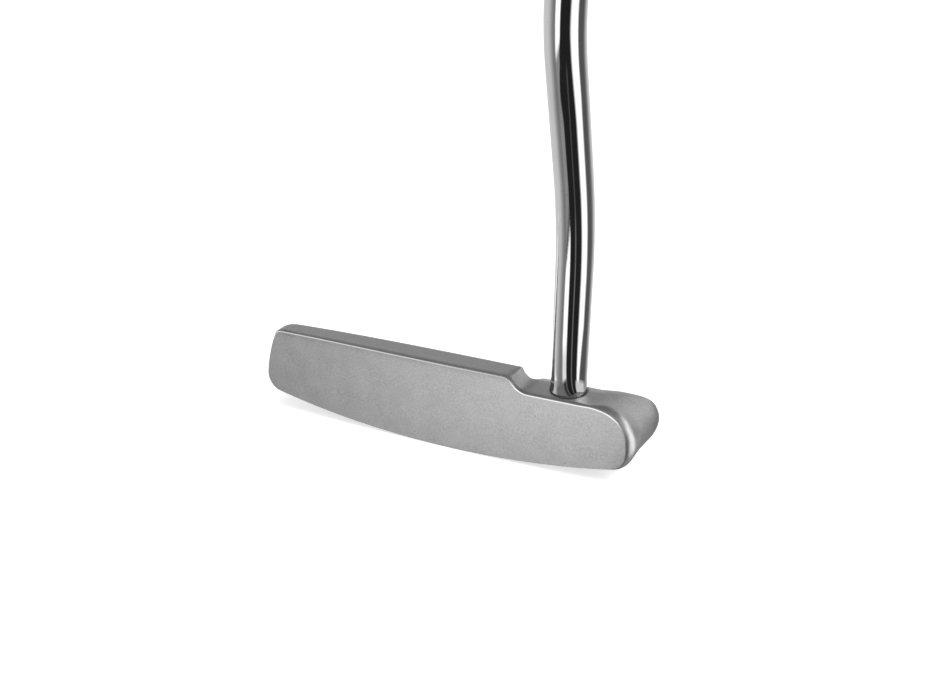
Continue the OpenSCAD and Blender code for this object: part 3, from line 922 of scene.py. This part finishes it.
def blasted_steel():
    """Bead-blasted stainless steel: a fine grey grain, faint clouds, a few dark specks and
    scuffs, and along the rim of the face a smoother, burnished line whose colour is painted
    light grey as a highlight."""
    material, tree, shader = new_finish("blasted_steel", Metallic=1.0)
    grain = place_group(tree, GRAIN, Fine=0.00045, Coarse=0.006, Share=0.35)
    colour = ramp(tree, grain.outputs["Grain"], [(0.3, 0.245), (0.5, 0.31), (0.7, 0.375)])
    specks = place_group(tree, SPECKS, Spacing=0.005, Size=0.035)
    colour = mix_colour(tree, specks.outputs[0], colour, (0.16, 0.16, 0.16))
    scuffs = place_group(tree, SCUFFS)
    colour = mix_colour(tree, scuffs.outputs[0], colour, (0.36, 0.36, 0.36))
    painted_highlight_and_burnish = add(tree, "ShaderNodeAttribute", attribute_name="painted_highlight_and_burnish").outputs["Fac"]
    # Painted highlight: the rim's base colour is raised to light grey. The lower roughness set
    # below is the burnish.
    colour = mix_colour(tree, painted_highlight_and_burnish, colour, (0.8, 0.8, 0.8))
    tree.links.new(colour, shader.inputs["Base Color"])
    rough = map_range(tree, grain.outputs["Cloud"], 0.3, 0.7, 0.36, 0.44)
    burnished = add(tree, "ShaderNodeMix", {0: painted_highlight_and_burnish, 2: rough, 3: 0.24})
    tree.links.new(burnished.outputs[0], shader.inputs["Roughness"])
    bump(tree, shader, grain.outputs["Grain"], 0.00004, 0.7)
    return material


def polished_chrome():
    """Chrome plate: a mirror with faint haze, tiny pits and handling marks."""
    material, tree, shader = new_finish("polished_chrome", Metallic=1.0)
    grain = place_group(tree, GRAIN, Fine=0.0004, Coarse=0.01, Share=0.3)
    colour = ramp(tree, grain.outputs["Cloud"], [(0.35, 0.6), (0.65, 0.64)])
    specks = place_group(tree, SPECKS, Spacing=0.0022, Size=0.06)
    colour = mix_colour(tree, specks.outputs[0], colour, (0.3, 0.3, 0.3))
    tree.links.new(colour, shader.inputs["Base Color"])
    rough = map_range(tree, grain.outputs["Grain"], 0.35, 0.7, 0.03, 0.07)
    tree.links.new(rough, shader.inputs["Roughness"])
    bump(tree, shader, grain.outputs["Cloud"], 0.00003, 0.3)
    return material


def matte_finish(name, dark, light, rough, fine, depth, **sockets):
    """A matte or half-gloss finish: two colours mixed by grain, and a fine relief."""
    material, tree, shader = new_finish(name, **sockets)
    grain = place_group(tree, GRAIN, Fine=fine, Coarse=fine * 8, Share=0.4)
    colour = ramp(tree, grain.outputs["Grain"], [(0.35, dark), (0.65, light)])
    tree.links.new(colour, shader.inputs["Base Color"])
    tree.links.new(map_range(tree, grain.outputs["Cloud"], 0.3, 0.7, rough - 0.06, rough + 0.06),
                   shader.inputs["Roughness"])
    bump(tree, shader, grain.outputs["Grain"], depth)
    return material


# ---- Floor, reflectors, lamps and camera ----

def flat_mesh(name, width, height):
    """A rectangle about the origin, facing up, in metres."""
    x, y = width / 2, height / 2
    mesh = bpy.data.meshes.new(name)
    mesh.from_pydata([(-x, -y, 0), (x, -y, 0), (x, y, 0), (-x, y, 0)], [], [(0, 1, 2, 3)])
    return mesh


def build_floor():
    """A wide pale floor. The camera and metal see it white, with a glow that keeps its
    shadows faint, and it gives other surfaces less light than that."""
    floor = new_object("floor", flat_mesh("floor", 16.0, 16.0))
    material, tree, shader = new_finish("floor_white", Roughness=0.9, Specular_IOR_Level=0.0)
    ray = tree.nodes.new("ShaderNodeLightPath").outputs
    seen = maths(tree, "MAXIMUM", ray["Is Camera Ray"], ray["Is Glossy Ray"])
    seen = maths(tree, "MAXIMUM", seen, ray["Is Transmission Ray"])
    tree.links.new(mix_colour(tree, seen, (0.6, 0.6, 0.6), (0.75, 0.75, 0.75)),
                   shader.inputs["Base Color"])
    shader.inputs["Emission Color"].default_value = (1, 1, 1, 1)
    tree.links.new(map_range(tree, seen, 0, 1, 0, 0.55), shader.inputs["Emission Strength"])
    floor.data.materials.append(material)


def card_glow(a, r):
    """Brightness of the card round the shaft, at the angle a in degrees and the distance r
    in millimetres: pale and dimming towards the front at the toe side, a bright strip with
    a gap in it, a black sector towards the viewer with a faint line, a bright sector at
    the heel side, a grey one behind it and a pale one behind that. Close to the shaft it
    is dark to the front and behind, and pale at both sides, as the ledge is."""
    pale, bright, grey, dark = 0.83, 1.75, 0.13, 0.022
    glow = np.full(np.broadcast(a, r).shape, pale)
    glow = glow - 0.55 * change(a, -168, 42) * (a < -20)
    gap = sector(r, 59.8, 2.5, 140, 18)
    foot = ramp_at(-r, -22, 14)
    level = bright - 0.6 * foot - (1.37 + 0.3 * ramp_at(-r, -63.5, 3)) * gap
    glow = towards(glow, level, sector(a, -117.5 + 4 * foot, 9, -91.5, 8))
    cut = -91.5 - 5 * gap - 9 * smooth(1 - np.abs(r - 106) / 18)
    edge = -21 - 0.36 * np.clip(r - 95, 0, 40)
    black = sector(a, cut, 8, edge, 14)
    line = smooth(1 - np.abs(a + 60) / 6) * (0.2 - 0.12 * ramp_at(r, 58, 6))
    glow = towards(glow, dark, black) + line * ramp_at(-r, -112, 10) * black
    far = 14.5 - 0.8 * np.clip(28 - r, 0, 28) - 0.25 * np.clip(r - 135, 0, 30)
    glow = towards(glow, bright, sector(a, edge, 16, far, 14))
    glow = towards(glow, grey, sector(a, far, 14, 64, 44))
    behind = 1 - sector(a, -159, 8, 110, 16)
    near = 0.75 - 0.53 * ramp_at(a, -146, 14) - 0.17 * ramp_at(a, -108, 12)
    near = towards(near, 0.9, ramp_at(a, -32, 10))
    near = towards(near, 0.4, ramp_at(a, 40, 24))
    near = towards(near, 0.07, behind)
    reach = 9.2 + 2.5 * behind - 3.1 * sector(a, -45, 20, 80, 20)
    close = ramp_at(reach - r, 0, 1.6) * (1 - black * ramp_at(-a, 38, 6))
    return towards(glow, near, close)


def metal_only(name, mesh):
    """A card in the studio that only reflections show."""
    card = new_object(name, mesh)
    card.visible_camera = False
    card.visible_diffuse = False
    card.visible_shadow = False
    card.visible_transmission = False
    return card


def glow_card(name, a, r, centre, height, glow, shown=1.0, nearest=0.0):
    """A level card in polar steps about a centre that only metal sees, and only from above.
    Its brightness is the vertex attribute glow. It is open where shown is 0, and where
    shown is 1 to rays shorter than the distance nearest, in metres."""
    x, y = polar(centre, a, r)
    points = np.stack([x, y, height + 0 * x], -1).reshape(-1, 3) * MM
    whole = abs(a[0, -1] - a[0, 0]) > 350
    mesh = bpy.data.meshes.new(name)
    quads = grid_faces(*x.shape, close_columns=whole)[:, ::-1]
    mesh.from_pydata(points.tolist(), [], quads.tolist())
    for label, values in (("glow", glow), ("shown", shown)):
        layer = mesh.attributes.new(label, "FLOAT", "POINT")
        layer.data.foreach_set("value", (values + 0 * x).ravel().astype(np.float32))
    material = bpy.data.materials.new(name)
    material.use_nodes = True
    tree = material.node_tree
    tree.nodes.clear()
    value = add(tree, "ShaderNodeAttribute", attribute_name="glow").outputs["Fac"]
    there = add(tree, "ShaderNodeAttribute", attribute_name="shown").outputs["Fac"]
    below = add(tree, "ShaderNodeNewGeometry").outputs["Backfacing"]
    length = tree.nodes.new("ShaderNodeLightPath").outputs["Ray Length"]
    there = maths(tree, "SUBTRACT", there, maths(tree, "LESS_THAN", length, nearest), clamp=True)
    seen = maths(tree, "SUBTRACT", there, below, clamp=True)
    light = add(tree, "ShaderNodeEmission", {"Strength": value})
    clear = tree.nodes.new("ShaderNodeBsdfTransparent")
    mix = add(tree, "ShaderNodeMixShader", {0: seen, 1: clear.outputs[0], 2: light.outputs[0]})
    out = tree.nodes.new("ShaderNodeOutputMaterial")
    tree.links.new(mix.outputs[0], out.inputs[0])
    mesh.materials.append(material)
    metal_only(name, mesh)


def soft_card(name, place, width, height, strength):
    """A flat glowing card that faces the head and that only metal sees."""
    mesh = flat_mesh(name, width, height)
    material = new_finish(name, Base_Color=(0, 0, 0, 1), Specular_IOR_Level=0.0,
                          Emission_Color=(1, 1, 1, 1), Emission_Strength=strength)[0]
    mesh.materials.append(material)
    aim(metal_only(name, mesh), place, (0.04, 0, 0.01))


def floor_glow(a, r, x, y):
    """Brightness of the card on the floor. In front of the face it grows towards the heel
    and away from the face. At the heel it is black to the front, bright beside the heel
    but for the ground close to it, and grey behind."""
    glow = (0.8 + 0.72 * change(x, -105, 125)) * (0.84 + 0.56 * change(y, -12, -60))
    glow = towards(glow, 0.05, ramp_at(a, -90, 6))
    glow = towards(glow, 0.6 + 2.4 * ramp_at(r, 21, 12), ramp_at(a, -22, 10))
    return towards(glow, 0.42, ramp_at(a, 35, 12))


def build_cards():
    """One card round the shaft, just above the ledge and open over the blade, one on the
    floor round the heel's front corner, and soft ones beside the heel and behind it."""
    a = np.linspace(-180, 180, 361)[:-1][None, :]
    r = np.concatenate([np.linspace(2, 60, 59), np.linspace(62, 260, 67),
                        np.geomspace(275, 2000, 12)])[:, None]
    centre = (40, -6)
    x, y = polar(centre, a, r)
    over_blade = (x > -65) & (np.abs(y - 1.4) < 14) & (np.abs(a) > 125) & (r > 11)
    height = 22.5 + 0.7 * change(r, 11, 2)
    glow_card("shaft_card", a, r, centre, height, card_glow(a, r),
              1.0 - over_blade + (r < 12), 0.006)
    a = np.linspace(-180, 120, 151)[None, :]
    r = np.geomspace(0.5, 500, 60)[:, None]
    centre = (51, -13)
    glow_card("floor_card", a, r, centre, 0.3, floor_glow(a, r, *polar(centre, a, r)))
    soft_card("side_card", (0.73, -0.1, 0.13), 0.36, 0.34, 4.4)
    soft_card("heel_card", (0.70, 0.23, 0.41), 0.3, 0.3, 6.0)
    soft_card("back_card", (0.45, 0.95, 0.62), 0.8, 0.8, 1.25)


def build_world():
    """Plain studio light: pale near the horizon and dimmer overhead."""
    world = bpy.data.worlds.new("studio")
    bpy.context.scene.world = world
    world.use_nodes = True
    tree = world.node_tree
    way = add(tree, "ShaderNodeTexCoord").outputs["Generated"]
    up = add(tree, "ShaderNodeSeparateXYZ", {0: way}).outputs["Z"]
    colour = ramp(tree, up, [(0.0, 1.0), (0.2, 1.0), (0.42, 0.82), (0.7, 0.45), (1.0, 0.36)])
    tree.links.new(colour, tree.nodes["Background"].inputs["Color"])


def aim(thing, place, target):
    """A lamp or card put at a place, with its lower side turned to a target."""
    back = unit(np.array(place, float) - np.array(target, float))
    right = unit(np.cross([0, 0, 1.0], back))
    turn = np.stack([right, np.cross(back, right), back], -1)
    thing.matrix_world = Matrix.Translation(place) @ Matrix(turn.tolist()).to_4x4()


def build_lamps():
    """A wide soft sun from above the heel, and a soft lamp low beside the heel."""
    for name, kind, place, energy in (("sun", "SUN", (0.35, 0.05, 1.0), 1.3),
                                      ("side", "AREA", (0.42, -0.1, 0.3), 1.0)):
        light = bpy.data.lights.new(name, kind)
        light.energy = energy
        if kind == "SUN":
            light.angle = math.radians(70)
        else:
            light.size = 0.2
        lamp = new_object(name, light)
        lamp.visible_camera = False
        lamp.visible_glossy = False
        aim(lamp, place, (0.04, -0.05, 0))


def build_camera():
    """The camera: in front of the heel, looking down at the head."""
    eye = bpy.data.cameras.new("camera")
    eye.sensor_width = 36.0
    eye.lens = 53.09
    eye.clip_start = 0.01
    eye.clip_end = 50
    camera = new_object("camera", eye)
    right = np.array([0.8460962, 0.5266785, -0.08204252])
    down = np.array([0.16231977, -0.40119209, -0.9014972])
    ahead = np.array([-0.50771401, 0.74943623, -0.42493743])
    turn = np.stack([right, -down, -ahead], -1)
    place = np.array([197.002, -288.790, 189.154]) * MM
    camera.matrix_world = Matrix.Translation(place) @ Matrix(turn.tolist()).to_4x4()
    bpy.context.scene.camera = camera


# ---- Everything together ----

steel = blasted_steel()
chrome = polished_chrome()
epoxy = matte_finish("dark_epoxy", 0.02, 0.05, 0.5, 0.0004, 0.00001)
rubber = matte_finish("grip_rubber", 0.012, 0.028, 0.62, 0.0005, 0.00005)
cap_rubber = matte_finish("cap_rubber", 0.012, 0.026, 0.52, 0.0004, 0.00002)
build_head(steel)
build_shaft(chrome)
build_bond(epoxy)
build_grip(rubber)
build_cap(cap_rubber)

# The part's own solids that stay as they are and only get their finish.
kept = {
    "tip_plug": matte_finish("stopper_rubber", 0.05, 0.09, 0.7, 0.0006, 0.00004),
    "grip_tape": matte_finish("paper_tape", (0.5, 0.44, 0.3), (0.62, 0.56, 0.42), 0.8, 0.0008,
                              0.00003),
    "sight_line": matte_finish("sight_paint", 0.01, 0.03, 0.5, 0.0005, 0.00003),
}
for node, finish in kept.items():
    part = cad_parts[node]
    part.data.materials.clear()
    part.data.materials.append(finish)

build_floor()
build_cards()
build_world()
build_lamps()
build_camera()
bpy.context.scene.view_settings.view_transform = "Standard"
